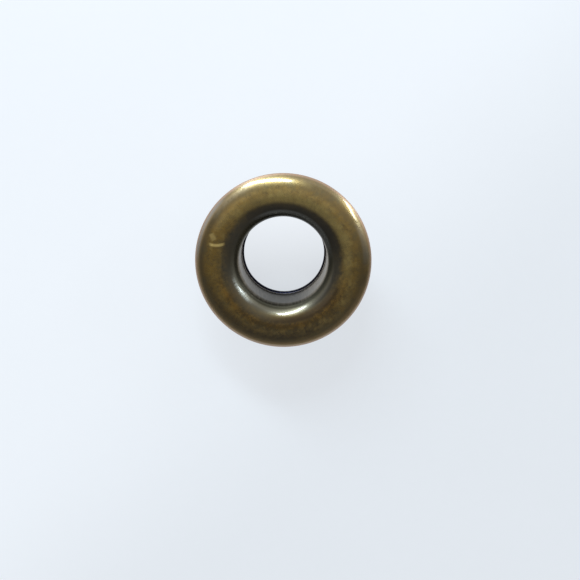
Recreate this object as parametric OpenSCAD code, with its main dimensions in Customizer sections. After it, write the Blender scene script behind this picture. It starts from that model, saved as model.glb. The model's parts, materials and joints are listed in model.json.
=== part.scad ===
// Press eyelet with a crowned flange, as it leaves the tool and before it is set in cloth or leather.
// One disc of thin brass sheet is drawn into a cup, its floor is pierced, and the rim of the disc is
// pressed into a hollow crown with a turned-down lip. The wall has the sheet's thickness all over.
// The barrel's end stands on z = 0, the crown is on top, and the eyelet is round about the Z axis.

/* [Sheet] */
// Thickness of the brass sheet
sheet = 0.25; // [0.15:0.05:0.35]

/* [Barrel] */
// Inside diameter of the straight barrel
bore_d = 8; // [6:0.1:9]
// Length of the straight barrel, from the nose up to the roll
barrel_len = 4; // [2:0.05:8]
// Inside radius of the corner that is left of the cup's floor at the barrel's end
nose_r = 0.15; // [0.1:0.05:0.3]
// Width of the flat ring of the cup's floor that is left round the pierced mouth
mouth_land = 0.07; // [0.03:0.01:0.5]

/* [Flange] */
// Outside diameter of the flange, over its cut edge
flange_d = 16; // [15:0.1:24]
// Top-face radius of the throat, the tight turn where the barrel starts to roll out
throat_r = 1.2; // [0.8:0.05:1.6]
// Slope at which the throat gives way to the wider roll
throat_slope = 52; // [35:1:65]
// Top-face radius of the roll from the throat up to the crest of the flange
roll_r = 2.15; // [1.6:0.05:2.5]
// Top-face radius of the lip that turns down round the flange
lip_r = 2.4; // [1.2:0.05:3]
// Slope at which the crown gives way to the lip
crown_slope = 25; // [15:1:35]
// Slope of the lip at its cut edge
lip_slope = 47; // [40:1:75]

/* [Hidden] */
antique_brass = [0.45, 0.38, 0.22];
// Chord of the section's arcs, in degrees, and the number of flats that a round wall is drawn with
arc_step = 5;
round_flats = 180;

bore_r = bore_d / 2;
flange_r = flange_d / 2;

// Distances of the arcs' centres from the axis, and the radius of the pierced mouth
nose_x = bore_r - nose_r;
throat_x = bore_r + throat_r;
crest_x = throat_x + (roll_r - throat_r) * sin(throat_slope);
lip_x = flange_r - lip_r * sin(lip_slope);
mouth_r = nose_x - mouth_land;

// The crown is one wide arc: level at the crest, and tangent to the lip where the lip begins
crown_to = lip_x + lip_r * sin(crown_slope);
crown_r = (crown_to - crest_x) / sin(crown_slope);

// Heights of the arcs' centres
nose_z = nose_r + sheet;
throat_z = nose_z + barrel_len;
roll_z = throat_z - (roll_r - throat_r) * cos(throat_slope);
crown_z = roll_z + roll_r - crown_r;
lip_z = crown_z + (crown_r - lip_r) * cos(crown_slope);

// Points on an arc about [x, z], from angle a0 to angle a1, at equal steps of about arc_step
function arc(x, z, r, a0, a1) =
    let (steps = ceil(abs(a1 - a0) / arc_step))
    [for (i = [0:steps]) let (a = a0 + (a1 - a0) * i / steps) [x + r * cos(a), z + r * sin(a)]];

// One face of the wall, from the pierced mouth to the flange's cut edge. At depth 0 it is the face
// that looks into the bore and up, and at depth sheet it is the one that looks out and down.
function face(depth) = concat(
    [[mouth_r, sheet - depth]],
    arc(nose_x, nose_z, nose_r + depth, -90, 0),
    arc(throat_x, throat_z, throat_r - depth, 180, 90 + throat_slope),
    arc(crest_x, roll_z, roll_r - depth, 90 + throat_slope, 90),
    arc(crest_x, crown_z, crown_r - depth, 90, 90 - crown_slope),
    arc(lip_x, lip_z, lip_r - depth, 90 - crown_slope, 90 - lip_slope));

function backwards(points) = [for (i = [len(points) - 1:-1:0]) points[i]];

module eyelet()
    color(antique_brass)
        rotate_extrude($fn = round_flats)
            polygon(concat(face(0), backwards(face(sheet))));

eyelet();
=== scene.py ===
"""Dresses the press eyelet: drawn brass sheet in an antique finish, on a pale lit table.

The eyelet stands on its barrel's end with the crowned flange up, and the camera looks down into it.
"""

import json
import math

import bmesh
import bpy
from mathutils import Matrix, Vector


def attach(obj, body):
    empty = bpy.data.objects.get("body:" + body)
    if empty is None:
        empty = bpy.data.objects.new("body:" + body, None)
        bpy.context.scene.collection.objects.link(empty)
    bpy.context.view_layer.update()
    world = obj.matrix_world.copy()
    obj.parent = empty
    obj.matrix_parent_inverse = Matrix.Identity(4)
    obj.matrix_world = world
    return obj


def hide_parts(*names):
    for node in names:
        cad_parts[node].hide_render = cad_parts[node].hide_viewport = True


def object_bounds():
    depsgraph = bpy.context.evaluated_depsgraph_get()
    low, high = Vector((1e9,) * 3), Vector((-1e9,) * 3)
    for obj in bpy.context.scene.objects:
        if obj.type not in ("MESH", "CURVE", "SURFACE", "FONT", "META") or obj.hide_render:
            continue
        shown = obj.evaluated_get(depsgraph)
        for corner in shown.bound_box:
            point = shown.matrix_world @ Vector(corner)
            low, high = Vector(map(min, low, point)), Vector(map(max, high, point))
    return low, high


bl_info = {
    "name": "Press Eyelet",
    "version": (1, 0, 0),
    "blender": (4, 5, 0),
    "location": "3D View > Sidebar > Eyelet",
    "description": "Makes a drawn brass eyelet with an antique finish, and the stage it stands on",
    "category": "Object",
}

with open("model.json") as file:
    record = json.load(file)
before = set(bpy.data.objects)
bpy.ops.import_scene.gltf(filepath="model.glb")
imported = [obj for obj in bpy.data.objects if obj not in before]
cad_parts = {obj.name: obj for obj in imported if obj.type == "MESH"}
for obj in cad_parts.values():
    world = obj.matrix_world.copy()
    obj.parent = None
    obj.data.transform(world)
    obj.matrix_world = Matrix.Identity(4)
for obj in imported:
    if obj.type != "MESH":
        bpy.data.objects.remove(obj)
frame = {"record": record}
CAD_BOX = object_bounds()
MOUNTS = {mount["name"]: mount["dims"] for mount in frame["record"]["mounts"]}

MM = 0.001
QUARTER = math.pi / 2

# Radius of the flange in millimetres, which the finish is measured by
REACH = round(CAD_BOX[1].x / MM, 3)

# Steps that the wall's centre line is drawn with, from the pierced mouth to the flange's cut edge,
# and the steps round each of the wall's two ends.
WALL_STEPS = {
    "land": 2,
    "nose": 8,
    "barrel": 10,
    "throat": 12,
    "roll": 14,
    "crown": 14,
    "lip": 14,
}
END_STEPS = 8

# Form of a cut edge: at 1 it is half an ellipse, and towards 0 its corners turn square
CORNER_POWER = 0.4

# How quickly the wander from a true round changes, outwards and in height
STRAY_SCALE = 0.9
LIFT_SCALE = 0.7

# Middle of the worn ring on the crown, in millimetres
WORN_CENTRE = (-0.16, -0.20)

# How quickly the streaks of the drawing die change, round the axis and along the wall
DRAW_MARKS_AROUND = 34.0
DRAW_MARKS_ALONG = 0.55

# Tints that lie over the brass and its coat in single places; several are painted shade, sheen,
# highlights and reflections
TINTS = {
    "tan": (0.43, 0.262, 0.050),
    "olive": (0.20, 0.19, 0.10),
    "gold": (0.66, 0.50, 0.17),
    "near shoulder darkening": (0.050, 0.036, 0.020),
    "near turn darkening": (0.062, 0.041, 0.015),
    "brown wash": (1.13, 0.96, 0.64),
    "painted throat shade": (0.040, 0.035, 0.026),
    "painted steep sheen": (0.31, 0.32, 0.31),
    "painted shadow line": (0.016, 0.012, 0.008),
    "painted_dark_ring": (0.032, 0.027, 0.018),
    "painted low right shade": (0.040, 0.036, 0.028),
    "painted glint": (0.42, 0.44, 0.40),
    "bore": (0.064, 0.057, 0.042),
    "bore sheen and brushing": (0.56, 0.495, 0.40),
    "painted_sheen_band": (0.50, 0.46, 0.42),
    "painted_highlight_tail": (0.60, 0.50, 0.34),
    "lower lip": (0.50, 0.335, 0.15),
    "painted pale highlight": (0.62, 0.61, 0.55),
    "painted cool reflection": (0.33, 0.36, 0.37),
    "nose": (0.010, 0.012, 0.030),
}

# The camera's line of sight and what lies to its right, a place on that line in millimetres,
# and how far past it the camera stands
SIGHT_FORWARD = Vector((-0.011, -0.195, -0.981))
SIGHT_RIGHT = Vector((1.0, -0.002, -0.011))
SIGHT_PLACE = Vector((1.825, 18.93, 113.73))
SIGHT_ADVANCE = 0.2

# The soft lights: where each one stands round the camera and how much it fills, in degrees
SOFT_LIGHTS = (
    {
        "name": "window_light",
        "azimuth": -19.0,
        "elevation": 45.0,
        "wide": 39.0,
        "high": 9.0,
        "tilt": -14.0,
        "radiance": 30.0,
        "colour": (0.80, 0.92, 1.0),
    },
    {
        "name": "side_light",
        "azimuth": 62.5,
        "elevation": 24.0,
        "wide": 7.0,
        "high": 21.0,
        "tilt": -24.0,
        "radiance": 17.0,
        "colour": (0.80, 0.91, 1.0),
    },
)

# How far off they hang and the place that they look at, in metres
LIGHT_DISTANCE = 0.30
LIGHT_AIM = Vector((0.0, 0.0, 0.005))

# Half the width of the table, in metres
TABLE_HALF = 1.5


class EyeletSizes(bpy.types.PropertyGroup):
    """Sizes of the pressed sheet."""

    flange_radius: bpy.props.FloatProperty(
        name="Flange radius",
        description="Radius of the flange, over its cut edge",
        default=CAD_BOX[1].x,
        unit="LENGTH",
    )
    bore_radius: bpy.props.FloatProperty(
        name="Bore radius",
        description="Inside radius of the straight barrel",
        default=MOUNTS["bore"]["r_mm"] * MM,
        unit="LENGTH",
    )
    barrel_length: bpy.props.FloatProperty(
        name="Barrel length",
        description="Length of the straight barrel, from the nose up to the roll",
        default=MOUNTS["bore"]["length_mm"] * MM,
        unit="LENGTH",
    )
    sheet: bpy.props.FloatProperty(
        name="Sheet",
        description="Thickness of the brass sheet",
        default=(MOUNTS["barrel"]["r_mm"] - MOUNTS["bore"]["r_mm"]) * MM,
        unit="LENGTH",
    )
    nose_radius: bpy.props.FloatProperty(
        name="Nose radius",
        description="Inside radius of the corner left of the cup's floor at the barrel's end",
        default=0.15 * MM,
        unit="LENGTH",
    )
    mouth_land: bpy.props.FloatProperty(
        name="Mouth land",
        description="Width of the flat ring left round the pierced mouth",
        default=0.07 * MM,
        unit="LENGTH",
    )
    throat_radius: bpy.props.FloatProperty(
        name="Throat radius",
        description="Top-face radius of the tight turn where the barrel starts to roll out",
        default=1.2 * MM,
        unit="LENGTH",
    )
    throat_slope: bpy.props.FloatProperty(
        name="Throat slope",
        description="Slope at which the throat gives way to the wider roll",
        default=math.radians(52),
        subtype="ANGLE",
    )
    roll_radius: bpy.props.FloatProperty(
        name="Roll radius",
        description="Top-face radius of the roll from the throat up to the crest",
        default=2.15 * MM,
        unit="LENGTH",
    )
    lip_radius: bpy.props.FloatProperty(
        name="Lip radius",
        description="Top-face radius of the lip that turns down round the flange",
        default=2.4 * MM,
        unit="LENGTH",
    )
    crown_slope: bpy.props.FloatProperty(
        name="Crown slope",
        description="Slope at which the crown gives way to the lip",
        default=math.radians(25),
        subtype="ANGLE",
    )
    lip_slope: bpy.props.FloatProperty(
        name="Lip slope",
        description="Slope of the lip at its cut edge",
        default=math.radians(47),
        subtype="ANGLE",
    )
    edge_round: bpy.props.FloatProperty(
        name="Edge rounding",
        description="How far the punch has drawn the corners of a cut edge round",
        default=0.025 * MM,
        unit="LENGTH",
    )
    out_of_true: bpy.props.FloatProperty(
        name="Out of true",
        description="How far the pressed sheet strays from a true round",
        default=0.006 * MM,
        unit="LENGTH",
    )
    steps_around: bpy.props.IntProperty(
        name="Steps around",
        description="Number of steps the wall is drawn with round the axis",
        default=320,
        min=48,
        max=480,
    )
    seed: bpy.props.IntProperty(
        name="Seed",
        description="Picks where the sheet strays from a true round",
        default=7,
    )


class EyeletFinish(bpy.types.PropertyGroup):
    """Colours of the antique brass finish."""

    rubbed: bpy.props.FloatVectorProperty(
        name="Rubbed brass",
        description="Brass where the dark coat is rubbed off, on the crown",
        subtype="COLOR",
        size=3,
        default=(0.53, 0.37, 0.12),
    )
    tarnish: bpy.props.FloatVectorProperty(
        name="Tarnish",
        description="Brown coat left between the rubbed places",
        subtype="COLOR",
        size=3,
        default=(0.205, 0.142, 0.050),
    )
    coat: bpy.props.FloatVectorProperty(
        name="Dark coat",
        description="Dark coat left whole in the throat, the barrel and the underside",
        subtype="COLOR",
        size=3,
        default=(0.102, 0.096, 0.071),
    )
    fresh: bpy.props.FloatVectorProperty(
        name="Fresh brass",
        description="Bright metal in a scratch",
        subtype="COLOR",
        size=3,
        default=(1.0, 0.76, 0.28),
    )
    cut_edge: bpy.props.FloatVectorProperty(
        name="Cut edge",
        description="Coppery brass of the sheared edge",
        subtype="COLOR",
        size=3,
        default=(0.52, 0.34, 0.25),
    )


class EyeletStage(bpy.types.PropertyGroup):
    """The table, the lights and the camera."""

    table: bpy.props.FloatVectorProperty(
        name="Table",
        description="Colour of the pale table top",
        subtype="COLOR",
        size=3,
        default=(0.90, 0.945, 1.0),
    )
    table_glow: bpy.props.FloatProperty(
        name="Table glow",
        description="Light that the table top gives off by itself",
        default=0.765,
        min=0.0,
    )
    lens: bpy.props.FloatProperty(
        name="Lens",
        description="Focal length of the camera, in millimetres on a 36 mm sensor",
        default=75.46,
    )


class Signal:
    """A node's socket in a Python expression. Each operator on it adds one Math node."""

    def __init__(self, wiring, socket):
        self.wiring = wiring
        self.socket = socket

    def math(self, operation, *others):
        return self.wiring.math(operation, self, *others)

    def __add__(self, other):
        return self.math("ADD", other)

    __radd__ = __add__

    def __sub__(self, other):
        return self.math("SUBTRACT", other)

    def __rsub__(self, other):
        return self.wiring.math("SUBTRACT", other, self)

    def __mul__(self, other):
        return self.math("MULTIPLY", other)

    __rmul__ = __mul__

    def __truediv__(self, other):
        return self.math("DIVIDE", other)

    def __rtruediv__(self, other):
        return self.wiring.math("DIVIDE", other, self)

    def __neg__(self):
        return self.math("MULTIPLY", -1.0)

    def __pow__(self, power):
        return self.math("POWER", power)

    def __abs__(self):
        return self.math("ABSOLUTE")

    def sin(self):
        return self.math("SINE")

    def cos(self):
        return self.math("COSINE")

    def sign(self):
        return self.math("SIGN")

    def at_most(self, limit):
        return self.math("MINIMUM", limit)

    def at_least(self, limit):
        return self.math("MAXIMUM", limit)

    def between(self, low, high):
        return self.at_least(low).at_most(high)

    def step(self, start, end):
        """0 before start and 1 after end, with a smooth rise between them."""
        inputs = {"Value": self, "From Min": start, "From Max": end}
        return self.wiring.node("ShaderNodeMapRange", {"interpolation_type": "SMOOTHSTEP"}, inputs)

    def other(self, name):
        """Another output of the same node."""
        return Signal(self.wiring, self.socket.node.outputs[name])


class Wiring:
    """Adds nodes to one tree and hands their outputs back as Signals."""

    def __init__(self, tree):
        self.tree = tree
        tree.nodes.clear()

    def node(self, kind, settings=None, inputs=None, output=0):
        made = self.tree.nodes.new(kind)
        for name, value in (settings or {}).items():
            if name == "stops":
                self.set_stops(made.color_ramp, value)
            else:
                setattr(made, name, value)
        for key, value in (inputs or {}).items():
            if isinstance(value, Signal):
                self.tree.links.new(value.socket, made.inputs[key])
            else:
                made.inputs[key].default_value = value
        return Signal(self, made.outputs[output]) if made.outputs else made

    @staticmethod
    def set_stops(ramp, stops):
        """Stops are (place, value) pairs of a grey ramp."""
        while len(ramp.elements) < len(stops):
            ramp.elements.new(1.0)
        for element, (place, value) in zip(ramp.elements, stops):
            element.position = place
            element.color = (value, value, value, 1.0)

    def math(self, operation, *values):
        return self.node("ShaderNodeMath", {"operation": operation}, dict(enumerate(values)))

    def split(self, vector):
        x = self.node("ShaderNodeSeparateXYZ", inputs={0: vector})
        return x, x.other("Y"), x.other("Z")

    def join(self, x, y, z):
        return self.node("ShaderNodeCombineXYZ", inputs={0: x, 1: y, 2: z})

    def scaled(self, vector, factor):
        return self.node("ShaderNodeVectorMath", {"operation": "SCALE"}, {0: vector, "Scale": factor})

    def attribute(self, name):
        """A number that Geometry Nodes stored on the piece."""
        return self.node("ShaderNodeAttribute", {"attribute_name": name}, output="Fac")

    def blend(self, factor, first, second, mode="MIX"):
        """Colour first where factor is 0 and second where it is 1."""
        settings = {"data_type": "RGBA", "blend_type": mode}
        return self.node("ShaderNodeMix", settings, {0: factor, 6: first, 7: second}, output=2)

    def lay(self, colour, layers):
        """Lays tints over a colour, each through its own mask."""
        for mask, tint in layers:
            colour = self.blend(mask, colour, opaque(tint))
        return colour

    def ramp(self, value, *stops):
        """A grey ramp over value, by (place, height) pairs."""
        return self.node("ShaderNodeValToRGB", {"stops": stops}, {0: value})

    def noise(self, vector, scale, detail=3.0, roughness=0.5, output="Fac"):
        inputs = {"Vector": vector, "Scale": scale, "Detail": detail, "Roughness": roughness}
        return self.node("ShaderNodeTexNoise", inputs=inputs, output=output)

    def bump(self, height, strength, depth):
        inputs = {"Strength": strength, "Distance": depth, "Height": height}
        return self.node("ShaderNodeBump", inputs=inputs)


def opaque(colour):
    return (*colour, 1.0)


def band(value, rise, fall):
    """1 between two soft edges, each given by where it starts and where it ends."""
    return value.step(*rise) * (1.0 - value.step(*fall))


# The eyelet


def wall_line(w, sizes):
    """Where each vertex of the grid lies on the section, and what the finish reads there.

    The section is a closed loop: out along the face that looks into the bore and up, round the
    cut edge, back along the underside and round the mouth. Run is the length along the wall from
    the mouth, face is 1 on the first face and 0 on the underside, and cut is 1 on a cut edge.
    """
    steps_along = sum(WALL_STEPS.values())
    x, y, _ = w.split(w.node("GeometryNodeInputPosition"))
    loop = (y + 0.5) * (2 * steps_along + 2 * END_STEPS)
    out_turn = ((loop - steps_along) / END_STEPS).between(0.0, 1.0)
    home_turn = ((loop - (2 * steps_along + END_STEPS)) / END_STEPS).between(0.0, 1.0)
    station = loop.between(0.0, steps_along) - (loop - steps_along - END_STEPS).between(
        0.0, steps_along
    )
    half = sizes["Sheet"] / 2
    edge_round = sizes["Edge rounding"]
    lip_line = sizes["Lip radius"] - half
    lip_end = sizes["Lip slope"] - edge_round / lip_line
    crown_to = sizes["Flange radius"] - sizes["Lip radius"] * (
        sizes["Lip slope"].sin() - sizes["Crown slope"].sin()
    )
    throat_out = sizes["Bore radius"] + sizes["Throat radius"]
    crest = throat_out + (sizes["Roll radius"] - sizes["Throat radius"]) * sizes["Throat slope"].sin()
    crown_radius = (crown_to - crest) / sizes["Crown slope"].sin()
    shares = {}
    first = 0
    for name, steps in WALL_STEPS.items():
        shares[name] = ((station - first) / steps).between(0.0, 1.0)
        first += steps
    heading = 0.0
    radius_out = sizes["Bore radius"] - sizes["Nose radius"] - sizes["Mouth land"] + edge_round
    height = half
    run = (sizes["Mouth land"] - edge_round) * shares["land"]
    radius_out = radius_out + run
    bends = (
        ("nose", sizes["Nose radius"] + half, QUARTER, 1),
        ("barrel", sizes["Barrel length"], None, 1),
        ("throat", sizes["Throat radius"] - half, sizes["Throat slope"] - QUARTER, -1),
        ("roll", sizes["Roll radius"] - half, -sizes["Throat slope"], -1),
        ("crown", crown_radius - half, -sizes["Crown slope"], -1),
        ("lip", lip_line, sizes["Crown slope"] - lip_end, -1),
    )
    for name, size, turn, side in bends:
        if turn is None:
            height = height + size * shares[name]
            run = run + size * shares[name]
            continue
        before = heading
        heading = turn * shares[name] + before
        start_sin = math.sin(before) if isinstance(before, float) else before.sin()
        start_cos = math.cos(before) if isinstance(before, float) else before.cos()
        radius_out = radius_out + (heading.sin() - start_sin) * size * side
        height = height - (heading.cos() - start_cos) * size * side
        run = run + size * side * turn * shares[name]
    swing = (out_turn + home_turn) * math.pi
    across = swing.cos()
    beyond = swing.sin()
    across = across.sign() * abs(across) ** CORNER_POWER * half
    beyond = beyond.sign() * abs(beyond) ** CORNER_POWER * edge_round
    radius_out = radius_out - heading.sin() * across + heading.cos() * beyond
    height = height + heading.cos() * across + heading.sin() * beyond
    cut = abs(swing.sin()).step(0.05, 0.6)
    return x, radius_out, height, run, 1.0 - out_turn + home_turn, cut


def section_tree():
    """Geometry Nodes: a grid bent into the eyelet's wall by the rule of its section."""
    tree = bpy.data.node_groups.new("Pressed wall", "GeometryNodeTree")
    w = Wiring(tree)
    tree.interface.new_socket("Geometry", in_out="OUTPUT", socket_type="NodeSocketGeometry")
    lengths = (
        "Flange radius",
        "Bore radius",
        "Barrel length",
        "Sheet",
        "Nose radius",
        "Mouth land",
        "Throat radius",
        "Roll radius",
        "Lip radius",
        "Edge rounding",
        "Out of true",
    )
    angles = ("Throat slope", "Crown slope", "Lip slope")
    for names, subtype in ((lengths, "DISTANCE"), (angles, "ANGLE")):
        for name in names:
            socket = tree.interface.new_socket(name, in_out="INPUT", socket_type="NodeSocketFloat")
            socket.subtype = subtype
    for name in ("Steps around", "Seed"):
        tree.interface.new_socket(name, in_out="INPUT", socket_type="NodeSocketInt")
    tree.interface.new_socket("Finish", in_out="INPUT", socket_type="NodeSocketMaterial")
    group = tree.nodes.new("NodeGroupInput")
    sizes = {item.name: Signal(w, item) for item in group.outputs if item.name}

    loop_steps = 2 * sum(WALL_STEPS.values()) + 2 * END_STEPS
    grid = w.node(
        "GeometryNodeMeshGrid",
        inputs={
            "Size X": 1.0,
            "Size Y": 1.0,
            "Vertices X": sizes["Steps around"] + 1,
            "Vertices Y": loop_steps + 1,
        },
    )
    x, radius_out, height, run, face, cut = wall_line(w, sizes)
    angle = x * (-2 * math.pi)
    outwards = w.join(angle.cos(), angle.sin(), 0.0)
    # The wander from a true round, outwards and in height, from two slices of the noise
    stray = w.noise(w.join(angle.cos(), angle.sin(), sizes["Seed"]), STRAY_SCALE, detail=1.0)
    lift = w.noise(w.join(angle.cos(), angle.sin(), sizes["Seed"] + 9), LIFT_SCALE, detail=1.0)
    flare = ((radius_out - sizes["Bore radius"]) / sizes["Roll radius"]).between(0.0, 1.0)
    radius_out = radius_out - stray * sizes["Out of true"]
    height = height - lift * flare * sizes["Out of true"] * 2
    for name, value in (("run", run), ("face", face), ("cut", cut)):
        stored = {"Geometry": grid, "Name": name, "Value": value}
        grid = w.node("GeometryNodeStoreNamedAttribute", inputs=stored)
    across_x, across_y, _ = w.split(w.scaled(outwards, radius_out))
    wall = w.node(
        "GeometryNodeSetPosition",
        inputs={"Geometry": grid, "Position": w.join(across_x, across_y, height)},
    )
    wall = w.node("GeometryNodeMergeByDistance", inputs={"Geometry": wall, "Distance": 0.001 * MM})
    wall = w.node("GeometryNodeSetShadeSmooth", inputs={"Geometry": wall})
    wall = w.node("GeometryNodeRealizeInstances", inputs={"Geometry": wall})
    wall = w.node(
        "GeometryNodeSetMaterial", inputs={"Geometry": wall, "Material": sizes["Finish"]}
    )
    w.node("NodeGroupOutput", inputs={0: wall})
    return tree


def set_inputs(modifier, values):
    """Gives a modifier's named inputs their values, by the sockets' identifiers."""
    for item in modifier.node_group.interface.items_tree:
        if item.item_type == "SOCKET" and item.in_out == "INPUT":
            modifier[item.identifier] = values[item.name]


def plain_mesh(piece):
    """Turns the object's modifiers into its mesh, with every face outwards."""
    graph = bpy.context.evaluated_depsgraph_get()
    made = bpy.data.meshes.new_from_object(
        piece.evaluated_get(graph), preserve_all_data_layers=True, depsgraph=graph
    )
    piece.modifiers.clear()
    old, piece.data = piece.data, made
    bpy.data.meshes.remove(old)
    made.name = piece.name
    shape = bmesh.new()
    shape.from_mesh(made)
    open_edges = [edge for edge in shape.edges if not edge.is_manifold]
    volume = shape.calc_volume(signed=True)
    shape.free()
    if open_edges or volume <= 0:
        raise RuntimeError(
            f"{piece.name}: {len(open_edges)} open edges, volume {volume * 1e9:.1f} mm3"
        )


def nick(x, y, centre, lean, half_length, half_width, sag=0.0):
    """A short mark on the crown: its middle in millimetres and its lean in degrees."""
    c, s = math.cos(math.radians(lean)), math.sin(math.radians(lean))
    over = x - centre[0]
    up = y - centre[1] - over * over * sag
    along = abs(over * c + up * s)
    across = abs(up * c - over * s)
    ends = 1.0 - along.step(half_length * 0.6, half_length)
    return ends * (1.0 - across.step(half_width * 0.3, half_width))


class Surface:
    """What the finish reads at each place on the wall. Its lengths are in millimetres."""

    def __init__(self, w):
        self.place = w.scaled(w.node("ShaderNodeTexCoord", output="Object"), 1 / MM)
        self.x, self.y, _ = w.split(self.place)
        self.distance = (self.x * self.x + self.y * self.y) ** 0.5
        off_x = self.x - WORN_CENTRE[0]
        off_y = self.y - WORN_CENTRE[1]
        self.worn = (off_x**2.0 + off_y**2.0) ** 0.5
        self.run = w.attribute("run") / MM
        self.face = w.attribute("face")
        self.outside = 1.0 - self.face
        self.cut = w.attribute("cut")

        self.grain = w.noise(self.place, 3.6, roughness=0.6) - 0.5
        self.mottle = w.noise(self.place, 1.3, roughness=0.6) - 0.5
        self.cloud = w.noise(self.place, 0.32, detail=2.0) - 0.5
        patches = w.noise(self.place, 0.9, detail=2.0, roughness=0.6, output="Color")
        self.warmth, self.depth, _ = w.split(patches)
        around_x = self.x / self.distance * DRAW_MARKS_AROUND
        around_y = self.y / self.distance * DRAW_MARKS_AROUND
        along = w.join(around_x, around_y, self.run * DRAW_MARKS_ALONG)
        self.draw_marks = w.noise(along, 1.0, roughness=0.6) - 0.5

        # Zones of the crown and the lip
        self.open_crown = band(self.worn, (4.6, 5.4), (6.5, 7.2))
        self.inner_crown = band(self.worn, (5.40, 5.75), (6.0, 6.7))
        self.lip = self.worn.step(6.5, 7.1)
        # The throat's two sides, and how far out the painted dark ring is seated on the near one
        self.far_side = self.towards(0.42, 0.91).step(1.6, 4.3)
        self.near_side = 1.0 - self.y.step(-0.5, 2.0)
        self.seat = self.distance + self.x.at_least(0.0) * 0.02 * self.near_side

        # The steep turn into the bore, and a painted shadow line under it on the far side
        turn_at = self.distance - (self.y - self.x) * 0.03
        self.steep = band(turn_at, (4.14, 4.34), (4.44, 4.70)) * self.face
        self.painted_shadow_line = (1.0 - self.distance.step(4.06, 4.24)) * self.far_side * self.face
        self.painted_shadow_line = self.painted_shadow_line * self.run.step(4.3, 4.7)

        # The flange's cut edge and rim, and the nicks on the left of the crown
        self.rim = self.cut * self.distance.step(6.0, 7.0) + self.distance.step(7.72, 7.95) * 0.75
        self.rim = self.rim.at_most(1.0)
        self.nicks = nick(self.x, self.y, (-5.95, 1.58), 1.0, 0.80, 0.20, sag=0.26) * 0.9
        self.nicks = self.nicks + nick(self.x, self.y, (-6.30, 2.33), 115.0, 0.40, 0.34) * 0.45
        self.nicks = self.nicks * self.face

    def towards(self, across, up):
        """How far a place lies from the axis, along one direction."""
        return self.x * across + self.y * up

    def facing(self, across, up):
        """1 straight in one direction from the axis, and less to both sides of it."""
        return self.towards(across, up) / self.distance


def bare_share(w, on):
    """How far the coat is gone: almost wholly round the crown, and less over the lip."""
    bare = w.ramp(
        on.worn / REACH,
        (0.50, 0.0),
        (0.56, 0.05),
        (0.60, 0.12),
        (0.645, 0.20),
        (0.67, 0.36),
        (0.70, 0.78),
        (0.73, 0.95),
        (0.86, 0.95),
        (0.90, 0.68),
        (0.95, 0.48),
        (1.00, 0.35),
    )
    bare = bare + (on.grain * 0.5 + on.mottle * 0.5) * on.open_crown + on.cloud * 0.3
    bare = bare + on.towards(0.8, 0.3) / REACH * on.lip * 0.3
    return bare.between(0.0, 1.0) * on.face.step(0.6, 1.0)


def bare_brass(w, on, finish):
    """The brass where the coat is gone: tarnished or rubbed, with tan, olive and golden patches."""
    rubbed = w.ramp(
        on.worn / REACH,
        (0.60, 0.05),
        (0.66, 0.35),
        (0.73, 0.74),
        (0.78, 0.84),
        (0.82, 0.72),
        (0.86, 0.42),
        (0.90, 0.18),
        (0.97, 0.15),
        (1.00, 0.20),
    )
    rubbed = rubbed + on.y / REACH * on.inner_crown * 0.45
    uneven = on.grain * 1.6 + on.mottle * 1.9 + on.draw_marks * 0.4
    uneven = uneven + on.towards(-0.22, 0.97) / REACH * 0.5
    rubbed = (rubbed + uneven * (on.open_crown * 0.85 + 0.15)).between(0.0, 1.0)
    tan = on.warmth.step(0.42, 0.62) * 0.3 + on.x * on.x / 90.0
    tan = tan - on.x / 50.0 + on.y / 35.0 - on.lip * 0.2
    gold = on.depth.step(0.50, 0.38) * on.open_crown * 0.35
    gold = gold + on.towards(0.5, 0.9) / REACH * on.inner_crown * 1.2
    gold = gold + nick(on.x, on.y, (-0.3, 6.2), 0.0, 1.2, 0.7) * 0.4
    layers = (
        (tan.between(0.0, 0.8), TINTS["tan"]),
        (on.depth.step(0.50, 0.66) * 0.25, TINTS["olive"]),
        (gold.between(0.0, 1.0), TINTS["gold"]),
    )
    return w.lay(w.blend(rubbed, opaque(finish.tarnish), opaque(finish.rubbed)), layers)


def crown_layers(on):
    """Darker on the near side: on the shoulder, and where the crown turns into the throat."""
    shoulder = on.towards(-0.34, -0.94).step(2.5, 6.5) * band(on.worn, (6.08, 6.65), (6.85, 7.15))
    turn = on.towards(0.45, -0.89).step(3.3, 5.1) * band(on.distance, (4.80, 5.15), (5.45, 5.8))
    return (
        (shoulder * on.face * 0.6, TINTS["near shoulder darkening"]),
        (turn * on.face * 0.75, TINTS["near turn darkening"]),
    )


def underside_layers(on, finish):
    """The coat outside and below, worn through in streaks down to tarnished brass."""
    worn_through = on.draw_marks * 1.1 + on.mottle * 1.1 + 0.22 - on.run.step(0.4, 1.2) * 0.18
    return ((on.outside * worn_through.between(0.0, 0.7), finish.tarnish),)


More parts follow.
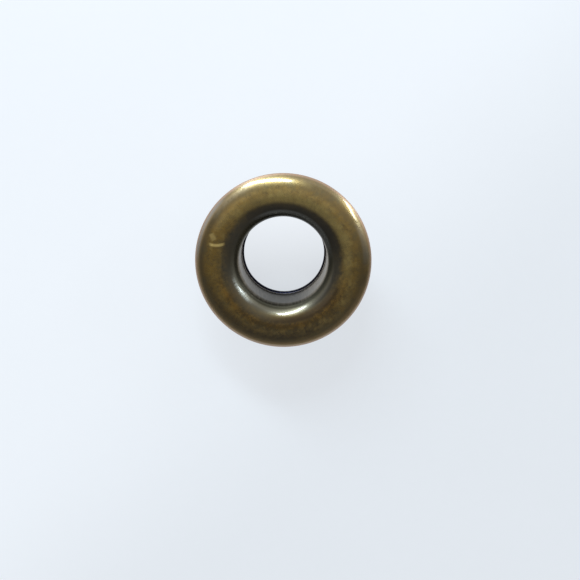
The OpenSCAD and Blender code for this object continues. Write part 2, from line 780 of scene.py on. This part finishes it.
def throat_layers(on):
    """Painted shade, sheen, a shadow line, a dark ring and a glint round the throat, which differ on
    its far and near side.
    """
    # Painted shade over the far side of the throat, inside the crest
    painted_throat_shade = (1.0 - on.worn.step(5.42, 5.92)) * on.towards(0.3, 0.95).step(1.2, 3.8) * on.face
    # A painted dark ring where the barrel meets the roll on the near side
    painted_dark_ring = band(on.seat, (4.23, 4.33), (4.38, 4.50)) * on.face * on.near_side
    # Painted shade over the right end of the throat's highlight
    painted_low_right_shade = on.facing(0.82, -0.57).step(0.84, 0.96)
    painted_low_right_shade = painted_low_right_shade * band(on.distance, (4.46, 4.66), (4.82, 5.0)) * on.face
    # A painted glint low on the left of the throat, broken up by the drawing streaks
    painted_glint = on.facing(-0.82, -0.57).step(0.93, 0.99)
    painted_glint = painted_glint * band(on.distance, (4.54, 4.70), (4.80, 4.96)) * on.face
    streaks = (on.draw_marks * 2.0 + 0.35).between(0.0, 0.6)
    return (
        (painted_throat_shade * 0.75, TINTS["painted throat shade"]),
        # Painted sheen on the steep turn, on the far side
        (on.steep * on.far_side * 0.95, TINTS["painted steep sheen"]),
        # A painted shadow line under the far steep turn
        (on.painted_shadow_line, TINTS["painted shadow line"]),
        (painted_dark_ring * (0.6 - on.x.step(1.5, 3.5) * 0.35), TINTS["painted_dark_ring"]),
        (painted_low_right_shade * 0.5, TINTS["painted low right shade"]),
        (painted_glint * streaks, TINTS["painted glint"]),
    )


def bore_layers(on):
    """The bore's wall, with brushing streaks and a painted sheen brightest on its right, and a
    painted pale band of sheen above the nose.
    """
    wall = (1.0 - (on.seat - on.near_side * 0.12).step(3.98, 4.12)) * on.face
    # Painted sheen, brighter towards the right and, there, near the mouth, over the brushing streaks
    brushing_and_sheen = (on.x + 0.5) * (on.x + 0.5) / 34.0 + on.draw_marks * 0.6
    brushing_and_sheen = brushing_and_sheen + on.x.step(1.0, 3.2) * (0.12 + (1.0 - on.run.step(1.0, 3.0)) * 0.30)
    # A painted pale band of sheen low on the bore's wall, above the nose
    painted_sheen_band = band(on.run, (0.22, 0.34), (0.44, 0.60)) * on.face
    return (
        (wall, TINTS["bore"]),
        (wall * brushing_and_sheen.between(0.0, 1.0), TINTS["bore sheen and brushing"]),
        (painted_sheen_band * 0.7, TINTS["painted_sheen_band"]),
    )


def lip_layers(on, finish):
    """A painted highlight tail and painted reflections over the lip, a lighter lower lip, the coppery
    cut edge, and painted shade on the nose at the mouth.
    """
    # A painted tail of the window light's highlight, on the lip's far left
    painted_highlight_tail = on.facing(-0.64, 0.77).step(0.93, 0.99) * (on.grain + 0.5)
    painted_highlight_tail = painted_highlight_tail * band(on.distance, (7.05, 7.35), (7.45, 7.70)) * on.face
    lower_lip = (on.distance + on.x.at_most(0.0) * 0.02).step(7.25, 7.55)
    lower_lip = lower_lip * (1.0 - on.towards(0.5, 0.87).step(-1.0, 3.5)) * on.face
    # A painted pale highlight along the lip on the right, the tail of the side light
    pale = on.facing(0.97, 0.22).step(0.94, 0.995)
    pale = pale * band(on.distance, (7.10, 7.35), (7.60, 7.80)) * on.face
    # A painted cool reflection along the outer lip on the left
    cool = on.facing(-0.91, 0.42).step(0.90, 0.98)
    cool = cool * band(on.distance, (7.56, 7.72), (7.84, 7.94)) * on.face
    # Painted dark shade, with a blue fringe, on the nose at the mouth
    nose = (1.0 - on.run.step(0.18, 0.32)) * on.face
    return (
        (painted_highlight_tail.between(0.0, 1.0) * 0.5, TINTS["painted_highlight_tail"]),
        (lower_lip * 0.5, TINTS["lower lip"]),
        (pale * 0.16, TINTS["painted pale highlight"]),
        (on.rim * 0.85, finish.cut_edge),
        (cool * 0.45, TINTS["painted cool reflection"]),
        (nose * 0.95, TINTS["nose"]),
    )


def antique_brass(finish):
    """Brass under a dark coat: rubbed golden on the crown, whole in the throat and below, with
    painted shade, sheen, highlights and reflections laid over it.
    """
    material = bpy.data.materials.new("Antique brass")
    material.use_nodes = True
    w = Wiring(material.node_tree)
    on = Surface(w)
    bare = bare_share(w, on)
    colour = w.blend(bare, opaque(finish.coat), bare_brass(w, on, finish))
    colour = w.lay(colour, crown_layers(on))
    brown = (1.0 - on.y.step(-3.6, -0.4)) * band(on.distance, (4.7, 5.15), (5.8, 6.4)) * on.face
    colour = w.blend(brown, colour, opaque(TINTS["brown wash"]), "MULTIPLY")
    colour = w.lay(colour, underside_layers(on, finish))
    colour = w.lay(colour, throat_layers(on))
    colour = w.lay(colour, bore_layers(on))
    colour = w.lay(colour, ((on.nicks * 0.9, finish.fresh),))
    colour = w.lay(colour, lip_layers(on, finish))

    grain = on.grain * (on.open_crown * 0.8 + 0.2)
    roughness = 0.31 - bare * 0.03 + grain * 0.2 + on.draw_marks * (0.06 + on.outside * 0.3)
    roughness = roughness + on.rim * 0.1 + on.steep * 0.15 + on.nicks * 0.15
    turn = band(on.distance, (4.4, 4.8), (5.4, 5.9))
    height = grain * 0.4 + on.mottle * 0.6 - on.nicks * 0.8
    height = height + on.draw_marks * (on.outside + turn * 0.2 + 0.35)
    shader = w.node(
        "ShaderNodeBsdfPrincipled",
        inputs={
            "Base Color": colour,
            # Metal everywhere but the painted shadow line, which stays dark
            "Metallic": 1.0 - on.painted_shadow_line * 0.9,
            "Specular IOR Level": 0.2,
            "Specular Tint": (0.75, 0.75, 0.75, 1.0),
            "Roughness": roughness,
            "Normal": w.bump(height, 0.5, 0.004 * MM),
            "Coat Weight": on.distance.step(4.4, 4.75) * on.face,
            "Coat Roughness": 0.07,
        },
    )
    w.node("ShaderNodeOutputMaterial", inputs={"Surface": shader})
    return material


class EYELET_OT_press_eyelet(bpy.types.Operator):
    """Press the eyelet's wall from its section and give it the antique finish"""

    bl_idname = "eyelet.press_eyelet"
    bl_label = "Press Eyelet"
    bl_options = {"REGISTER", "UNDO"}

    def execute(self, context):
        sizes = context.scene.eyelet_sizes
        piece = bpy.data.objects.new("pressed_wall", bpy.data.meshes.new("pressed_wall"))
        context.scene.collection.objects.link(piece)
        modifier = piece.modifiers.new("Pressed wall", "NODES")
        modifier.node_group = section_tree()
        values = {
            sizes.bl_rna.properties[name].name: getattr(sizes, name)
            for name in sizes.bl_rna.properties.keys()
            if name not in ("rna_type", "name")
        }
        values["Finish"] = antique_brass(context.scene.eyelet_finish)
        set_inputs(modifier, values)
        plain_mesh(piece)
        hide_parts("eyelet")
        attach(piece, "root")
        return {"FINISHED"}


# The stage


def sight_axes():
    """Right, up and forward of the camera, in the eyelet's frame."""
    forward = SIGHT_FORWARD.normalized()
    right = (SIGHT_RIGHT - forward * SIGHT_RIGHT.dot(forward)).normalized()
    return right, right.cross(forward), forward


def turned(right, up, back, place):
    """The matrix of a camera or light that looks against back."""
    matrix = Matrix((right, up, back)).transposed().to_4x4()
    matrix.translation = place
    return matrix


def sight(azimuth, elevation):
    """Unit vectors from the eyelet towards a place round the camera, to its right and up."""
    right, up, forward = sight_axes()
    a, e = math.radians(azimuth), math.radians(elevation)

    def mixed(across, over, ahead):
        return (right * across + up * over - forward * ahead).normalized()

    towards = mixed(math.sin(a) * math.cos(e), math.sin(e), math.cos(a) * math.cos(e))
    across = mixed(math.cos(a), 0.0, -math.sin(a))
    return towards, across, towards.cross(across)


def soft_light(name, azimuth, elevation, wide, high, tilt, radiance, colour):
    """A rectangular soft light that looks at the eyelet. Wide and high are angles that it fills."""
    towards, across, over = sight(azimuth, elevation)
    t = math.radians(tilt)
    across, over = (
        across * math.cos(t) + over * math.sin(t),
        over * math.cos(t) - across * math.sin(t),
    )
    light = bpy.data.lights.new(name, "AREA")
    light.shape = "RECTANGLE"
    light.size = 2 * LIGHT_DISTANCE * math.tan(math.radians(wide) / 2)
    light.size_y = 2 * LIGHT_DISTANCE * math.tan(math.radians(high) / 2)
    light.energy = radiance * math.pi * light.size * light.size_y
    light.color = colour
    lamp = bpy.data.objects.new(name, light)
    lamp.matrix_world = turned(across, over, towards, towards * LIGHT_DISTANCE + LIGHT_AIM)
    bpy.context.scene.collection.objects.link(lamp)


def table_top(colour, glow):
    """A pale table top that is lit a little from below, as a light table is."""
    material = bpy.data.materials.new("Pale table")
    material.use_nodes = True
    w = Wiring(material.node_tree)
    place = w.node("ShaderNodeTexCoord", output="Object")
    x, y, _ = w.split(place)
    # The light falls off down the table and to the right
    slope = (x - y).step(-0.008, 0.026)
    cloud = w.noise(place, 60.0, detail=3.0)
    grain = w.noise(place, 900.0, detail=4.0)
    shade = 1.0 - slope * 0.10 - (cloud - 0.5) * 0.02 - (grain - 0.5) * 0.012
    # What shows through the bore runs from dim on the near side to bright on the far side
    bore = 1.0 - ((x * x + y * y) ** 0.5).step(0.0038, 0.0042)
    shade = shade + bore * (y * 45.0 + 0.05)
    lit = w.blend(1.0, opaque(colour), w.join(shade, shade, shade), "MULTIPLY")
    shader = w.node(
        "ShaderNodeBsdfPrincipled",
        inputs={
            "Base Color": w.blend(1.0, lit, (0.22, 0.22, 0.22, 1.0), "MULTIPLY"),
            "Roughness": 0.6,
            "Emission Color": lit,
            "Emission Strength": glow,
            "Normal": w.bump(grain, 0.2, 0.02 * MM),
        },
    )
    w.node("ShaderNodeOutputMaterial", inputs={"Surface": shader})
    return material


def room():
    """A dim studio room, lighter on the far side, where the window light hangs."""
    world = bpy.data.worlds.new("Studio room")
    bpy.context.scene.world = world
    world.use_nodes = True
    w = Wiring(world.node_tree)
    direction = w.node("ShaderNodeTexCoord", output="Generated")
    x, y, z = w.split(direction)
    grey = w.ramp(
        y * 0.5 + 0.5,
        (0.00, 0.21),
        (0.12, 0.21),
        (0.25, 0.19),
        (0.36, 0.16),
        (0.44, 0.18),
        (0.52, 0.27),
        (0.60, 0.40),
        (0.75, 0.56),
        (0.86, 0.46),
        (1.00, 0.36),
    )
    # Dimmer low down on the near side, and in the far left corner of the ceiling
    low = (1.0 - z.step(0.25, 0.75)) * (1.0 - y.step(0.0, 0.4))
    corner = (y * 0.57 - x * 0.48 + z * 0.67).step(0.70, 0.95)
    grey = grey * (1.0 - low * 0.20) * (1.0 - corner * 0.40)
    # A pale strip of wall above the table, palest on the far side, and a patch of ceiling
    strip = z.step(0.02, 0.10) * (1.0 - (z - y * 0.35).step(0.22, 0.34))
    grey = grey + strip * (y.step(-0.90, -0.30) * 0.25 + y.step(-0.10, 0.40) * 0.35)
    patch = (y * 0.33 - x * 0.45 + z * 0.83).step(0.950, 0.995)
    grey = grey + patch * 0.25
    shell = w.node("ShaderNodeBackground", inputs={"Color": grey, "Strength": 1.0})
    w.node("ShaderNodeOutputWorld", inputs={"Surface": shell})


class EYELET_OT_lay_stage(bpy.types.Operator):
    """Lay the pale table, hang the soft lights and point the camera into the eyelet"""

    bl_idname = "eyelet.lay_stage"
    bl_label = "Lay Stage"
    bl_options = {"REGISTER", "UNDO"}

    def execute(self, context):
        settings = context.scene.eyelet_stage
        half = TABLE_HALF
        mesh = bpy.data.meshes.new("table_top")
        corners = [(-half, -half, 0), (half, -half, 0), (half, half, 0), (-half, half, 0)]
        mesh.from_pydata(corners, [], [(0, 1, 2, 3)])
        mesh.materials.append(table_top(settings.table, settings.table_glow))
        table = bpy.data.objects.new("table_top", mesh)
        context.scene.collection.objects.link(table)

        room()
        for light in SOFT_LIGHTS:
            soft_light(**light)

        right, up, forward = sight_axes()
        camera = bpy.data.cameras.new("camera")
        camera.sensor_width = 36
        camera.lens = settings.lens
        camera.clip_start = 0.005
        holder = bpy.data.objects.new("camera", camera)
        place = (SIGHT_PLACE + forward * SIGHT_ADVANCE) * MM
        holder.matrix_world = turned(right, up, -forward, place)
        context.scene.collection.objects.link(holder)
        context.scene.camera = holder
        context.scene.view_settings.view_transform = "Standard"
        return {"FINISHED"}


class EYELET_PT_sidebar(bpy.types.Panel):
    """Lists the eyelet's sizes, its finish and its stage"""

    bl_idname = "EYELET_PT_sidebar"
    bl_label = "Press Eyelet"
    bl_space_type = "VIEW_3D"
    bl_region_type = "UI"
    bl_category = "Eyelet"

    def draw(self, context):
        for group, operator in (
            (context.scene.eyelet_sizes, EYELET_OT_press_eyelet),
            (context.scene.eyelet_finish, None),
            (context.scene.eyelet_stage, EYELET_OT_lay_stage),
        ):
            column = self.layout.column(align=True)
            for name in group.bl_rna.properties.keys():
                if name not in ("rna_type", "name"):
                    column.prop(group, name)
            if operator:
                self.layout.operator(operator.bl_idname)


CLASSES = (
    EyeletSizes,
    EyeletFinish,
    EyeletStage,
    EYELET_OT_press_eyelet,
    EYELET_OT_lay_stage,
    EYELET_PT_sidebar,
)


def register():
    for cls in CLASSES:
        bpy.utils.register_class(cls)
    bpy.types.Scene.eyelet_sizes = bpy.props.PointerProperty(type=EyeletSizes)
    bpy.types.Scene.eyelet_finish = bpy.props.PointerProperty(type=EyeletFinish)
    bpy.types.Scene.eyelet_stage = bpy.props.PointerProperty(type=EyeletStage)


def unregister():
    del bpy.types.Scene.eyelet_stage
    del bpy.types.Scene.eyelet_finish
    del bpy.types.Scene.eyelet_sizes
    for cls in reversed(CLASSES):
        bpy.utils.unregister_class(cls)


def main():
    register()
    bpy.ops.eyelet.press_eyelet()
    bpy.ops.eyelet.lay_stage()


if __name__ == "__main__":
    main()
